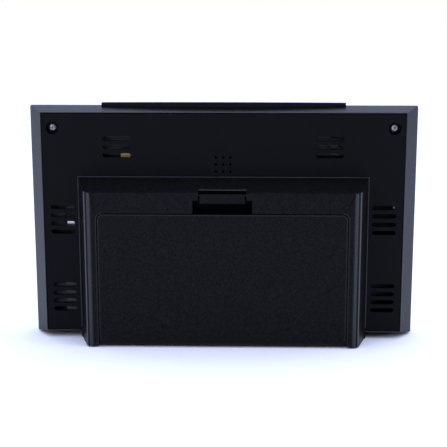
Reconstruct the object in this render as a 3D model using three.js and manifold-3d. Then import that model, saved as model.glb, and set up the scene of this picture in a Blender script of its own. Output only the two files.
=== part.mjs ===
// A battery-powered digital photo frame for a desk, built as it comes apart on a bench.
//
// Units are millimetres. The display faces -Y, the back faces +Y and +Z is up.
// Every piece is drawn in the frame of the unleaned case: X runs across the case,
// y = 0 is the outer face of the rear cover and z = 0 is the underside of the case.
// The whole device is then leaned back and stood on z = 0, centred on the origin.

import * as THREE from 'three';
import { mergeVertices } from 'three/addons/utils/BufferGeometryUtils.js';
import Module from 'manifold-3d';

const wasm = await Module();
wasm.setup();

// ---------------------------------------------------------------- driving sizes

const lean = THREE.MathUtils.degToRad( 3 );
const wall = 2;             // moulded wall
const gap = 0.3;            // between pieces that touch
const seam = 0.4;           // shadow gap round a cover, button or door

// case
const caseWidth = 203.6;
const caseHeight = 124.4;
const caseCorner = 1.2;
const rimDepth = 11.8;      // tapered part of the rim, front to back
const rimSide = 6.7;        // how far the taper comes in on each side
const rimTop = 1.9;
const rimBottom = 3.6;
const rimLand = 0.5;        // flat edge left round the rear cover
const frontFall = 1.4;      // how far the top and sides of the front part come in to the front
const coverThickness = 2;
const ledge = 1.2;          // what the rear cover rests on

// vents, sound holes and screws in the rear cover
const slotHeight = 2.4;
const slotPitch = 4.48;
const upperSlots = { count: 3, inner: 48.1, outer: 62.8, fromTop: 20.3 };
const middleSlots = { count: 4, inner: 78.2, outer: 90.8, fromTop: 59.1 };
const lowerSlots = { count: 4, inner: 78.4, outer: 90.8, fromTop: 101.7 };
const soundHole = { radius: 0.75, pitch: 3.72, rows: 3, aboveBox: 6.7 };
const coverScrewIn = 13.1;  // from the case's side to the screw's axis
const coverScrewDown = 10.4;
const counterboreRadius = 3.4;
const counterboreDepth = 3.2;
const counterboreWall = 0.9;

// battery cells (size C) and the bay that holds them
const cellDiameter = 26.2;
const cellLength = 50;
const cellNub = 1.5;
const cellPlay = 0.4;
const contactRoom = 5.8;    // for the spring or plate past each end of a row
const bayWall = 1.6;

// battery box
const boxDepth = 19.5;
const boxDraft = THREE.MathUtils.degToRad( 15.2 );
const boxTopSlope = THREE.MathUtils.degToRad( 12.5 );
const boxCorner = 3.6;
const boxRearWall = 2.4;
const boxBesideDoor = 6.4;
const chinDepth = 5;        // how far the box's floor reaches under the rim

// battery door, its hinge and its latch
const doorThickness = 2.4;
const doorBesideBay = 8.5;
const doorAboveBay = 7.6;
const doorCorner = 3;
const barrelRadius = 3.5;   // rolled lower edge, round the hinge
const barrelWall = 1.6;
const pinRadius = 1.5;
const pinLength = 2.3;
const pinClearance = 0.3;
const barrelClearance = 0.4;
const recessWidth = 30.5;   // finger recess above the door
const recessHeight = 7.35;
const recessDepth = 8.2;
const tabWidth = 23;
const tabHeight = 4.6;
const tabThickness = 2.2;
const tabClearance = 0.8;
const latchWall = 1.3;
const latchTravel = 1.3;
const notchDepth = 4.5;

// control bar on the top
const barWidth = 127.8;
const barRearEnd = 10.1;    // from the rear cover's face to the bar, at its ends
const barRearMiddle = 7.6;
const barFront = 14;
const barProud = 2.2;
const barSlope = THREE.MathUtils.degToRad( 12 );
const barTravel = 1;
const barFlange = 1.5;

// display stack
const moduleWidth = 165;
const moduleHeight = 100;
const viewWidth = 154;
const viewHeight = 87;
const panelThickness = 2.1;
const trayThickness = 2.5;
const windowThickness = 1;
const windowMargin = 6;     // from the window's edge to the case's edge

// boards
const boardThickness = 1.6;
const stackClearance = 1;   // between the display stack and the bay behind it
const boardDepth = 7;       // from the rear cover's face to the boards
const switchBoardIn = 9.5;  // from the rear cover's face to the switch board
const switchHeight = 2.4;
const switchPlunger = 1;

// screws
const headRadius = 2;
const headHeight = 1.4;
const shankRadius = 1.1;
const bossRadius = 3;
const postRadius = 2.4;

// feet
const footLength = 18;
const footWidth = 5;
const footProud = 0.6;
const footPocket = 0.8;

// ---------------------------------------------------------------- derived places

const caseHalf = caseWidth / 2;
const coverHalf = caseHalf - rimSide - rimLand;
const coverLow = rimBottom + rimLand;
const coverHigh = caseHeight - rimTop - rimLand;

const doorInner = boxDepth - doorThickness;
const bayFloor = doorInner - 0.55 - cellDiameter - cellPlay;
const bayBack = bayFloor - bayWall;
const bayHalf = cellLength + contactRoom;
const hingeY = boxDepth - barrelRadius;
const hingeZ = restHeight( boxDepth ) + barrelRadius;
const bayLow = hingeZ + barrelRadius + barrelClearance + 0.2 + wall;
const rowPitch = cellDiameter + 2 * cellPlay;
const bayHigh = bayLow + 2 * rowPitch;

const doorHalf = bayHalf + doorBesideBay;
const doorTop = bayHigh + doorAboveBay;
const openingHalf = doorHalf + seam;
const boxRearHalf = doorHalf + boxBesideDoor;
const boxBaseHalf = boxRearHalf + boxDepth * Math.tan( boxDraft );
const recessTop = doorTop + recessHeight;
const boxTopRear = recessTop + tabHeight - tabClearance;
const boxTopBase = boxTopRear + boxDepth * Math.tan( boxTopSlope );
const ledgeBack = doorInner - gap;
const tongueTop = doorTop - 0.25;

// The display stack lies in front of the bay and of the boards' screws, and the case's
// front wall lies in front of the switch board.
const boardRear = - boardDepth;
const boardFront = boardRear - boardThickness;
const switchBoardFront = - barFront - 2.2;
const stackThickness = panelThickness + trayThickness + 2 * gap;
const trayBack = Math.min(
	bayBack - stackClearance,
	boardFront - headHeight - 3 * gap,
	switchBoardFront - gap + stackThickness
);
const trayFront = trayBack - trayThickness;
const panelFront = trayFront - gap - panelThickness;
const frontInside = panelFront - gap;
const frontFace = frontInside - wall;
const screwX = caseHalf - coverScrewIn;
const screwZ = caseHeight - coverScrewDown;
const cupRadius = counterboreRadius + counterboreWall;
const cupBottom = - counterboreDepth - 1.4;

const barTop = caseHeight + barProud;
const barUnder = caseHeight - wall - gap - barFlange;
const plungerTop = barUnder - barTravel - gap;
const switchBoardTop = plungerTop - switchPlunger - switchHeight - gap;
const switchLedgeLow = switchBoardTop - boardThickness - gap - wall;
const displayMiddle = switchLedgeLow - 0.7 - moduleHeight / 2;

// The height of a plane parallel to the desk that touches the rim's lowest edge.
function restHeight( y ) {

	return ( y + rimDepth ) * Math.tan( lean );

}

// ---------------------------------------------------------------- shape helpers

function solid( geometry ) {

	const bare = geometry.clone();
	bare.deleteAttribute( 'normal' );
	bare.deleteAttribute( 'uv' );
	const merged = mergeVertices( bare, 1e-4 );
	return new wasm.Manifold( new wasm.Mesh( {
		numProp: 3,
		vertProperties: new Float32Array( merged.attributes.position.array ),
		triVerts: new Uint32Array( merged.index.array )
	} ) );

}

function geometryOf( body ) {

	const mesh = body.getMesh();
	const geometry = new THREE.BufferGeometry();
	geometry.setAttribute( 'position', new THREE.BufferAttribute( mesh.vertProperties, 3 ) );
	geometry.setIndex( new THREE.BufferAttribute( mesh.triVerts, 1 ) );
	return geometry;

}

function block( x0, x1, y0, y1, z0, z1 ) {

	const box = new THREE.BoxGeometry( x1 - x0, y1 - y0, z1 - z0 );
	return solid( box.translate( ( x0 + x1 ) / 2, ( y0 + y1 ) / 2, ( z0 + z1 ) / 2 ) );

}

// A block symmetric about x = 0.
function wideBlock( half, y0, y1, z0, z1 ) {

	return block( - half, half, y0, y1, z0, z1 );

}

// A block whose rectangle changes between its front and its rear.
function taperedBlock( front, rear, y0, y1 ) {

	const box = new THREE.BoxGeometry( 1, 1, 1 );
	const position = box.attributes.position;
	for ( let i = 0; i < position.count; i ++ ) {

		const atRear = position.getY( i ) > 0;
		const section = atRear ? rear : front;
		const x = Math.sign( position.getX( i ) ) * section.half;
		const z = position.getZ( i ) > 0 ? section.high : section.low;
		position.setXYZ( i, x, atRear ? y1 : y0, z );

	}

	return solid( box );

}

// Prisms of a drawn shape. The shape's axes are X and Z, Y and Z, or X and Y.
function extrude( shape, length, curveSegments ) {

	return new THREE.ExtrudeGeometry( shape, { depth: length, bevelEnabled: false, curveSegments } );

}

function prismAlongY( shape, y0, y1, curveSegments = 4 ) {

	const geometry = extrude( shape, y1 - y0, curveSegments );
	return solid( geometry.rotateX( Math.PI / 2 ).translate( 0, y1, 0 ) );

}

function prismAlongX( shape, x0, x1, curveSegments = 6 ) {

	const geometry = extrude( shape, x1 - x0, curveSegments );
	const turn = new THREE.Matrix4().makeBasis(
		new THREE.Vector3( 0, 1, 0 ), new THREE.Vector3( 0, 0, 1 ), new THREE.Vector3( 1, 0, 0 )
	);
	return solid( geometry.applyMatrix4( turn ).translate( x0, 0, 0 ) );

}

function prismAlongZ( shape, z0, z1, curveSegments = 6 ) {

	return solid( extrude( shape, z1 - z0, curveSegments ).translate( 0, 0, z0 ) );

}

function roundedRectangle( x0, x1, z0, z1, radius ) {

	const shape = new THREE.Shape();
	shape.absarc( x1 - radius, z0 + radius, radius, - Math.PI / 2, 0 );
	shape.absarc( x1 - radius, z1 - radius, radius, 0, Math.PI / 2 );
	shape.absarc( x0 + radius, z1 - radius, radius, Math.PI / 2, Math.PI );
	shape.absarc( x0 + radius, z0 + radius, radius, Math.PI, 1.5 * Math.PI );
	return shape;

}

function outline( points ) {

	return new THREE.Shape( points.map( ( [ a, b ] ) => new THREE.Vector2( a, b ) ) );

}

function rodAlongY( x, z, radius, y0, y1, sides = 16 ) {

	const rod = new THREE.CylinderGeometry( radius, radius, y1 - y0, sides );
	return solid( rod.translate( x, ( y0 + y1 ) / 2, z ) );

}

function rodAlongX( y, z, radius, x0, x1, sides = 20 ) {

	const rod = new THREE.CylinderGeometry( radius, radius, x1 - x0, sides ).rotateZ( Math.PI / 2 );
	return solid( rod.translate( ( x0 + x1 ) / 2, y, z ) );

}

function join( bodies ) {

	return bodies.reduce( ( sum, body ) => sum.add( body ) );

}

function cut( body, tools ) {

	return tools.reduce( ( rest, tool ) => rest.subtract( tool ), body );

}

const bothSides = [ - 1, 1 ];

// ---------------------------------------------------------------- feet

// A pad that lies flat on the desk. Its shape is drawn level, so it leans back here
// by the same angle that the whole device leans the other way.
function footPad( x, y, grow, height ) {

	const shape = roundedRectangle(
		- footLength / 2 - grow, footLength / 2 + grow,
		- footWidth / 2 - grow, footWidth / 2 + grow,
		footWidth / 2 + grow - 0.1
	);
	const pad = extrude( shape, height, 2 );
	return pad.rotateX( lean ).translate( x, y, restHeight( y ) - footProud );

}

const footPlaces = {
	foot_front_left: [ - caseHalf + 20, ( frontFace - rimDepth ) / 2 ],
	foot_front_right: [ caseHalf - 20, ( frontFace - rimDepth ) / 2 ],
	foot_rear_left: [ - doorHalf + 14, boxDepth * 0.36 ],
	foot_rear_right: [ doorHalf - 14, boxDepth * 0.36 ]
};

function footPockets() {

	return Object.values( footPlaces ).map( ( [ x, y ] ) =>
		solid( footPad( x, y, gap, footProud + footPocket ) ) );

}

function foot( [ x, y ] ) {

	return solid( footPad( x, y, 0, footProud + footPocket - gap ) );

}

// ---------------------------------------------------------------- case

const windowHalf = caseHalf - windowMargin;
const windowLow = windowMargin;
const windowHigh = caseHeight - windowMargin;
const bracketScrewX = moduleWidth / 2 + 9;
const bracketScrewZ = [ displayMiddle - 9, displayMiddle + 9 ];
const bracketRear = trayBack + 0.9;

function barOutline( grow ) {

	const half = barWidth / 2 + grow;
	const front = - barFront - grow;
	const rearEnd = - barRearEnd + grow;
	const rearMiddle = - barRearMiddle + grow;
	const bow = rearMiddle - rearEnd;
	const bowRadius = ( half * half + bow * bow ) / ( 2 * bow );
	const sweep = Math.asin( half / bowRadius );
	const shape = new THREE.Shape();
	shape.moveTo( - half, front );
	shape.lineTo( half, front );
	shape.absarc( 0, rearMiddle - bowRadius, bowRadius, Math.PI / 2 - sweep, Math.PI / 2 + sweep );
	return shape;

}

function rimInside() {

	const inset = wall + 0.2;
	const slope = ( y, amount ) => amount * ( y + rimDepth ) / rimDepth;
	const at = y => ( {
		half: caseHalf - inset - slope( y, rimSide ),
		low: inset + slope( y, rimBottom ),
		high: caseHeight - inset - slope( y, rimTop )
	} );
	const ledgeY = - coverThickness - gap;
	const throat = {
		half: Math.min( at( ledgeY ).half, coverHalf - ledge ),
		low: Math.max( at( ledgeY ).low, coverLow + ledge ),
		high: Math.min( at( ledgeY ).high, coverHigh - ledge )
	};
	return taperedBlock( at( - rimDepth ), throat, - rimDepth, ledgeY );

}

function frontBezel() {

	const front = roundedRectangle( - caseHalf, caseHalf, 0, caseHeight, caseCorner );
	const wide = { half: caseHalf, low: 0, high: caseHeight };
	const drawnIn = { half: caseHalf - frontFall, low: 0, high: caseHeight - frontFall };
	const straight = taperedBlock( drawnIn, wide, frontFace, - rimDepth )
		.intersect( prismAlongY( front, frontFace, - rimDepth, 2 ) );
	const narrow = {
		half: caseHalf - rimSide,
		low: rimBottom,
		high: caseHeight - rimTop
	};
	const taper = taperedBlock( wide, narrow, - rimDepth, 0 )
		.intersect( prismAlongY( front, - rimDepth, 0, 2 ) );
	const inside = wideBlock( caseHalf - wall, frontInside, - rimDepth, wall, caseHeight - wall );
	const coverSeat = wideBlock( coverHalf, - coverThickness - gap, 1, coverLow, coverHigh );
	const throatHigh = coverHigh - ledge;
	const throat = wideBlock( coverHalf - ledge, - coverThickness - 1, 1, coverLow + ledge, throatHigh );
	const viewLow = displayMiddle - viewHeight / 2;
	const view = wideBlock( viewWidth / 2 + 2, frontFace - 1, frontInside + 1,
		viewLow - 2, viewLow + viewHeight + 2 );
	const windowRecess = prismAlongY(
		roundedRectangle( - windowHalf, windowHalf, windowLow, windowHigh, 2 ),
		frontFace - 1, frontFace + windowThickness + gap
	);
	const shell = cut( join( [ straight, taper ] ), [ inside, rimInside(), coverSeat, throat,
		view, windowRecess, prismAlongZ( barOutline( seam ), barUnder, barTop + 5, 12 ) ] );

	const bosses = [];
	const pilots = [];
	for ( const side of bothSides ) {

		bosses.push( rodAlongY( side * screwX, screwZ, bossRadius, frontInside - 0.5, cupBottom - gap ) );
		pilots.push( rodAlongY( side * screwX, screwZ, shankRadius + gap, frontInside + 1.5, 0, 12 ) );
		pilots.push( rodAlongY( side * screwX, screwZ, cupRadius + gap, cupBottom - gap, 0, 24 ) );
		for ( const z of bracketScrewZ ) {

			const x = side * bracketScrewX;
			bosses.push( rodAlongY( x, z, postRadius, frontInside - 0.5, trayBack - gap ) );
			pilots.push( rodAlongY( x, z, shankRadius + gap, frontInside + 1.5, trayBack, 10 ) );

		}

		const inner = side * barWidth * 0.36;
		const outer = side * barWidth * 0.41;
		bosses.push( block( Math.min( inner, outer ), Math.max( inner, outer ), frontInside - 0.5,
			- switchBoardIn - 0.5, switchLedgeLow, switchLedgeLow + wall ) );

	}

	return cut( join( [ shell, ...bosses ] ), [ ...pilots, ...footPockets() ] );

}

function slotRow( group, side ) {

	const radius = slotHeight / 2;
	const middle = caseHeight - group.fromTop;
	const slots = [];
	for ( let i = 0; i < group.count; i ++ ) {

		const z = middle + ( i - ( group.count - 1 ) / 2 ) * slotPitch;
		const ends = [ side * group.inner, side * group.outer ].sort( ( a, b ) => a - b );
		const shape = roundedRectangle( ends[ 0 ], ends[ 1 ], z - radius, z + radius, radius - 0.01 );
		slots.push( prismAlongY( shape, - coverThickness - 1, 1, 2 ) );

	}

	return slots;

}

function soundHoles() {

	const middle = boxTopBase + soundHole.aboveBox;
	const holes = [];
	for ( let row = 0; row < soundHole.rows; row ++ ) {

		for ( let column = 0; column < soundHole.rows; column ++ ) {

			const x = ( column - 1 ) * soundHole.pitch;
			const z = middle + ( row - 1 ) * soundHole.pitch;
			holes.push( rodAlongY( x, z, soundHole.radius, - coverThickness - 1, 1, 10 ) );

		}

	}

	return holes;

}

const boardLow = boxTopBase + 1.5;
const boardHigh = Math.min( coverHigh - ledge - 1.5, switchBoardTop - boardThickness + 2 );
const boardHalf = 70;
const boardScrews = bothSides.map( side => [ side * ( boardHalf - 5 ), boardHigh - 3.5 ] );
const sideBoardIn = caseHalf - 25;
const sideBoardOut = caseHalf - 9.5;
const terminalZ = caseHeight - lowerSlots.fromTop;
const terminalHeight = 20;
const sideBoardLow = terminalZ - terminalHeight / 2 - 0.7;
const sideBoardHigh = caseHeight - middleSlots.fromTop + 23;
const sideBoardMiddle = ( sideBoardIn + sideBoardOut ) / 2;
const sideScrewZ = [ terminalZ + terminalHeight / 2 + 5.5, sideBoardHigh - 5 ];
const sideScrews = sideScrewZ.map( z => [ sideBoardMiddle, z ] );
const boxScrewX = boxRearHalf - 5.5;
const boxScrewZ = [ bayLow + 10, boxTopRear - 8 ];

function rearCover() {

	const plate = wideBlock( coverHalf - seam, - coverThickness, 0, coverLow + seam, coverHigh - seam );
	const bayOpening = wideBlock( bayHalf + bayWall + seam, - 5, 1,
		bayLow - bayWall - seam, bayHigh + bayWall + seam );
	const added = [];
	const removed = [ bayOpening, ...soundHoles() ];
	for ( const side of bothSides ) {

		added.push( rodAlongY( side * screwX, screwZ, cupRadius, cupBottom, - 0.5, 24 ) );
		removed.push( rodAlongY( side * screwX, screwZ, counterboreRadius, - counterboreDepth, 1, 24 ) );
		removed.push( rodAlongY( side * screwX, screwZ, shankRadius + gap, cupBottom - 1, 0, 12 ) );
		for ( const group of [ upperSlots, middleSlots, lowerSlots ] ) {

			removed.push( ...slotRow( group, side ) );

		}

		for ( const z of boxScrewZ ) {

			removed.push( rodAlongY( side * boxScrewX, z, shankRadius + gap, - 5, 1, 12 ) );

		}

	}

	for ( const [ x, z ] of [ ...boardScrews, ...sideScrews ] ) {

		added.push( rodAlongY( x, z, postRadius, - boardDepth + gap, - 0.5 ) );
		removed.push( rodAlongY( x, z, shankRadius + gap, - boardDepth, - coverThickness - 0.5, 12 ) );

	}

	return cut( join( [ plate, ...added ] ), removed );

}

// ---------------------------------------------------------------- battery box

// Seen from above: drafted sides and rounded rear corners.
function boxPlan( inset, rear, front ) {

	const base = boxBaseHalf - inset / Math.cos( boxDraft );
	const sideAt = y => base - y * Math.tan( boxDraft );
	const radius = Math.max( boxCorner - inset, 0.6 );
	const middleY = rear - radius;
	const middleX = sideAt( middleY ) - radius / Math.cos( boxDraft );
	const shape = new THREE.Shape();
	shape.moveTo( - sideAt( front ), front );
	shape.lineTo( sideAt( front ), front );
	shape.absarc( middleX, middleY, radius, boxDraft, Math.PI / 2 );
	shape.absarc( - middleX, middleY, radius, Math.PI / 2, Math.PI - boxDraft );
	return shape;

}

// Seen from the side: a floor parallel to the desk and a top that falls to the rear.
function boxSide( inset, rear, front ) {

	const topAt = y => boxTopBase - inset - y * Math.tan( boxTopSlope );
	return outline( [
		[ front, restHeight( front ) + inset ],
		[ rear, restHeight( rear ) + inset ],
		[ rear, topAt( rear ) ],
		[ front, topAt( front ) ]
	] );

}

function boxForm( inset, rear, front ) {

	const plan = prismAlongZ( boxPlan( inset, rear, front ), - 5, caseHeight + 5 );
	return plan.intersect( prismAlongX( boxSide( inset, rear, front ), - caseHalf, caseHalf ) );

}

// The floor's front edge, which follows the rim's taper at a small gap.
function boxChin() {

	const rimAt = y => rimBottom * ( y + rimDepth ) / rimDepth - gap;
	const side = outline( [
		[ - chinDepth, restHeight( - chinDepth ) ],
		[ wall, restHeight( wall ) ],
		[ wall, restHeight( wall ) + wall ],
		[ gap, restHeight( gap ) + wall ],
		[ - chinDepth, rimAt( - chinDepth ) ]
	] );
	return prismAlongX( side, - boxBaseHalf, boxBaseHalf );

}

function batteryBox() {

	const outer = boxForm( 0, boxDepth, gap );
	const hollow = boxForm( wall, boxDepth - boxRearWall, - 1 );
	const bay = wideBlock( bayHalf + bayWall, bayBack, ledgeBack, bayLow - bayWall, bayHigh + bayWall );
	const flange = wideBlock( openingHalf + wall, ledgeBack - 1.8, ledgeBack,
		bayLow - bayWall, doorTop + wall );
	const latchHouse = wideBlock( recessWidth / 2 + 1.6, boxDepth - recessDepth - 1.6, ledgeBack,
		bayHigh + 0.5, boxTopRear - 0.4 );
	const cheeks = [];
	const posts = [];
	const postHoles = [];
	const bores = [];
	const cornerGaps = [];
	for ( const side of bothSides ) {

		const cheekX = [ side * openingHalf, side * ( boxRearHalf - 0.5 ) ].sort( ( a, b ) => a - b );
		cheeks.push( block( cheekX[ 0 ], cheekX[ 1 ], hingeY - 5, boxDepth, 0, bayLow ) );
		const boreEnd = doorHalf + pinLength + gap;
		const boreX = [ side * ( openingHalf - 1 ), side * boreEnd ].sort( ( a, b ) => a - b );
		bores.push( rodAlongX( hingeY, hingeZ, pinRadius + pinClearance, boreX[ 0 ], boreX[ 1 ] ) );
		const gapX = [ side * ( openingHalf - 1 ), side * ( openingHalf + 1 ) ].sort( ( a, b ) => a - b );
		cornerGaps.push( block( gapX[ 0 ], gapX[ 1 ], - 1, boxDepth + 1, - 1, restHeight( boxDepth ) + 1.3 ) );
		for ( const z of boxScrewZ ) {

			posts.push( rodAlongY( side * boxScrewX, z, postRadius, gap, boxDepth - 1 ) );
			postHoles.push( rodAlongY( side * boxScrewX, z, shankRadius + gap, - 1, 8, 12 ) );

		}

	}

	const shell = join( [ cut( outer, [ hollow ] ), boxChin() ] );
	const inner = join( [ flange, latchHouse, ...cheeks, ...posts ] ).intersect( outer );
	const doorOpening = prismAlongY(
		roundedRectangle( - openingHalf, openingHalf, - 10, doorTop + seam, doorCorner + seam ),
		ledgeBack, boxDepth + 1, 6
	);
	const bayInside = wideBlock( bayHalf, bayFloor, boxDepth, bayLow, bayHigh );
	const barrelRoom = rodAlongX( hingeY, hingeZ, barrelRadius + barrelClearance,
		- openingHalf, openingHalf, 32 );
	const floorEnd = wideBlock( openingHalf, hingeY - 2.5, boxDepth + 1, - 5, hingeZ );
	const pocket = wideBlock( recessWidth / 2, boxDepth - recessDepth, doorInner + 0.1,
		tongueTop - latchWall - latchTravel - 0.2, recessTop + 1.4 );
	const recess = wideBlock( recessWidth / 2, doorInner - 1, boxDepth + 1, doorTop - 1, recessTop );
	const notch = wideBlock( tabWidth / 2 + tabClearance, boxDepth - notchDepth, boxDepth + 1,
		recessTop - 0.5, boxTopBase + 5 );
	return cut( join( [ shell, bay, inner ] ), [ doorOpening, bayInside, barrelRoom, floorEnd,
		pocket, recess, notch, ...bores, ...cornerGaps, ...postHoles, ...footPockets() ] );

}

// ---------------------------------------------------------------- battery door

function doorProfile() {

	const inner = barrelRadius - barrelWall;
	const plateInner = hingeY + barrelRadius - doorThickness;
	const shape = new THREE.Shape();
	shape.moveTo( plateInner, doorTop );
	shape.lineTo( plateInner, hingeZ + inner );
	shape.absarc( hingeY, hingeZ, inner, Math.acos( ( plateInner - hingeY ) / inner ), - Math.PI, true );
	shape.absarc( hingeY, hingeZ, barrelRadius, - Math.PI, 0 );
	shape.lineTo( boxDepth, doorTop );
	return shape;

}

function batteryDoor() {

	const plate = prismAlongX( doorProfile(), - doorHalf, doorHalf, 8 );
	const front = roundedRectangle( - doorHalf, doorHalf, - 10, doorTop, doorCorner );
	const trimmed = plate.intersect( prismAlongY( front, hingeY - 10, boxDepth + 1, 6 ) );
	const tongue = wideBlock( tabWidth / 2, boxDepth - recessDepth + 0.7 + latchWall + gap, doorInner + 0.5,
		tongueTop - latchWall, tongueTop );
	const ends = [];
	for ( const side of bothSides ) {

		const discX = [ side * ( doorHalf - 2.5 ), side * doorHalf ].sort( ( a, b ) => a - b );
		const pinX = [ side * ( doorHalf - 1 ), side * ( doorHalf + pinLength ) ].sort( ( a, b ) => a - b );
		ends.push( rodAlongX( hingeY, hingeZ, barrelRadius, discX[ 0 ], discX[ 1 ], 32 ) );
		ends.push( rodAlongX( hingeY, hingeZ, pinRadius, pinX[ 0 ], pinX[ 1 ] ) );

	}

	return join( [ trimmed, tongue, ...ends ] );

}

// The sprung arm of the door's latch: a leg beside the tongue, a shelf, the thumb tab
// and an ear at each side.
function doorLatch() {

	const legBack = boxDepth - recessDepth + 0.7;
	const shelfTop = recessTop - gap;
	const shelfLow = shelfTop - latchWall;
	const tabTop = shelfLow + tabHeight;
	const half = tabWidth / 2;
	const leg = wideBlock( half, legBack, legBack + latchWall, tongueTop - latchWall, shelfTop );
	const shelf = wideBlock( half, legBack, boxDepth - 0.5, shelfLow, shelfTop );
	const tab = prismAlongY( roundedRectangle( - half, half, shelfLow, tabTop, 0.6 ),
		boxDepth - tabThickness, boxDepth, 3 );
	const ears = wideBlock( recessWidth / 2 - 1, legBack + 1.5, boxDepth - boxRearWall - gap,
		shelfLow, shelfTop );
	return join( [ leg, shelf, tab, ears ] );

}

// ---------------------------------------------------------------- control bar and switches

function controlBar() {

	const bar = prismAlongZ( barOutline( 0 ), barUnder, barTop + 5, 12 );
	const fall = ( barFront + 2 ) * Math.tan( barSlope );
	const above = prismAlongX( outline( [
		[ - barRearMiddle, barTop ],
		[ 5, barTop ],
		[ 5, barTop + 10 ],
		[ - barFront - 2, barTop + 10 ],
		[ - barFront - 2, barTop - fall + barRearMiddle * Math.tan( barSlope ) ]
	] ), - caseHalf, caseHalf );
	const flange = wideBlock( barWidth / 2 + barFlange, - barFront - seam - barFlange, - rimDepth,
		barUnder, barUnder + barFlange );
	return join( [ cut( bar, [ above ] ), flange ] );

}

function switchBoard() {

	return wideBlock( barWidth * 0.45, switchBoardFront, - switchBoardIn,
		switchBoardTop - boardThickness, switchBoardTop );

}

function pressSwitch( x ) {

	const y = - ( barFront + switchBoardIn ) / 2 - 0.5;
	const low = switchBoardTop + gap;
	const can = block( x - 3, x + 3, y - 3, y + 3, low, low + switchHeight );
	const plunger = new THREE.CylinderGeometry( 1.7, 1.7, switchPlunger + 0.5, 14 ).rotateX( Math.PI / 2 );
	const top = low + switchHeight + switchPlunger;
	return can.add( solid( plunger.translate( x, y, top - ( switchPlunger + 0.5 ) / 2 ) ) );

}

// ---------------------------------------------------------------- display

function displayWindow() {

	const edge = windowHalf - seam / 2;
	const shape = roundedRectangle( - edge, edge, windowLow + seam / 2, windowHigh - seam / 2, 1.8 );
	return prismAlongY( shape, frontFace, frontFace + windowThickness );

}

function frameRing( half, low, high, width, y0, y1 ) {

	const ring = wideBlock( half, y0, y1, low, high );
	return ring.subtract( wideBlock( half - width, y0 - 1, y1 + 1, low + width, high - width ) );

}

function dustGasket() {

	const low = displayMiddle - viewHeight / 2 - 2 + gap;
	const high = displayMiddle + viewHeight / 2 + 2 - gap;
	return frameRing( viewWidth / 2 + 2 - gap, low, high, 2, frontFace + windowThickness + gap, frontInside );

}

function displayPanel() {

	const half = moduleHeight / 2;
	return wideBlock( moduleWidth / 2, panelFront, panelFront + panelThickness,
		displayMiddle - half, displayMiddle + half );

}

function backlightTray() {

	const half = moduleHeight / 2;
	const tray = wideBlock( moduleWidth / 2, trayFront, trayBack, displayMiddle - half, displayMiddle + half );
	const relief = wideBlock( moduleWidth / 2 - 12, trayBack - 0.6, trayBack + 1,
		displayMiddle - half + 12, displayMiddle + half - 30 );
	return tray.subtract( relief );

}

function displayBracket( side ) {

	const inner = side * ( moduleWidth / 2 - 6 );
	const outer = side * ( bracketScrewX + 4 );
	const plate = block( Math.min( inner, outer ), Math.max( inner, outer ), trayBack + gap, bracketRear,
		displayMiddle - 14, displayMiddle + 14 );
	const holes = bracketScrewZ.map( z =>
		rodAlongY( side * bracketScrewX, z, shankRadius + gap, trayBack - 1, bracketRear + 1, 12 ) );
	return cut( plate, holes );

}

function displayRibbon() {

	const near = - boardDepth - boardThickness - gap;
	const far = trayBack + gap;
	const bend = boardHigh - 8.5;
	const low = bend - 5.5;
	const radius = ( near - far ) / 2;
	const middle = ( near + far ) / 2;
	const shape = new THREE.Shape();
	shape.moveTo( far, low );
	shape.lineTo( far + 0.35, low );
	shape.absarc( middle, bend, radius - 0.35, Math.PI, 0, true );
	shape.lineTo( near - 0.35, low + 3 );
	shape.lineTo( near, low + 3 );
	shape.absarc( middle, bend, radius, 0, Math.PI );
	return prismAlongX( shape, 16, 38, 8 );

}

// ---------------------------------------------------------------- boards and what is on them

function board( x0, x1, z0, z1, holes ) {

	const plate = block( x0, x1, boardFront, boardRear, z0, z1 );
	return cut( plate, holes.map( ( [ x, z ] ) =>
		rodAlongY( x, z, shankRadius + gap, boardFront - 1, boardRear + 1, 12 ) ) );

}

// A flat-packed part on the rear side of a board.
function chip( x, z, width, height, thickness ) {

	const low = boardRear + gap;
	return block( x - width / 2, x + width / 2, low, low + thickness, z - height / 2, z + height / 2 );

}

function boardCan( x, z, radius, height ) {

	return rodAlongY( x, z, radius, boardRear + gap, boardRear + gap + height, 20 );

}

function speaker() {

	const middle = boxTopBase + soundHole.aboveBox;
	const profile = [
		[ 0, 0 ], [ 6, 0 ], [ 6, 1.2 ], [ 10, 2.2 ], [ 10, 3.4 ], [ 8.8, 3.4 ], [ 7.6, 2.9 ], [ 2, 2.4 ], [ 0, 2.7 ]
	].map( ( [ r, y ] ) => new THREE.Vector2( r, y ) );
	const body = new THREE.LatheGeometry( profile, 20 );
	return solid( body.translate( 0, - coverThickness - gap - 3.4, middle ) );

}

// ---------------------------------------------------------------- battery bay contents

const cellY = bayFloor + cellPlay / 2 + cellDiameter / 2;
const cellRows = [ bayLow + rowPitch / 2, bayLow + rowPitch * 1.5 ];
const springSide = [ 1, - 1 ];      // the end of each row that has the spring

function cell( row, column ) {

	const nubSide = - springSide[ row ];
	const radius = cellDiameter / 2;
	const can = cellLength - cellNub - gap;
	const profile = [
		[ 0, 0 ], [ radius - 1, 0 ], [ radius, 1 ], [ radius, can - 1 ], [ radius - 1, can ],
		[ 3.3, can ], [ 3, can + cellNub ], [ 0, can + cellNub ]
	].map( ( [ r, y ] ) => new THREE.Vector2( r, y ) );
	const geometry = new THREE.LatheGeometry( profile, 22 );
	geometry.rotateZ( - nubSide * Math.PI / 2 );
	const foot = nubSide * ( column - 1 ) * cellLength + nubSide * gap / 2;
	return solid( geometry.translate( foot, cellY, cellRows[ row ] ) );

}

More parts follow.
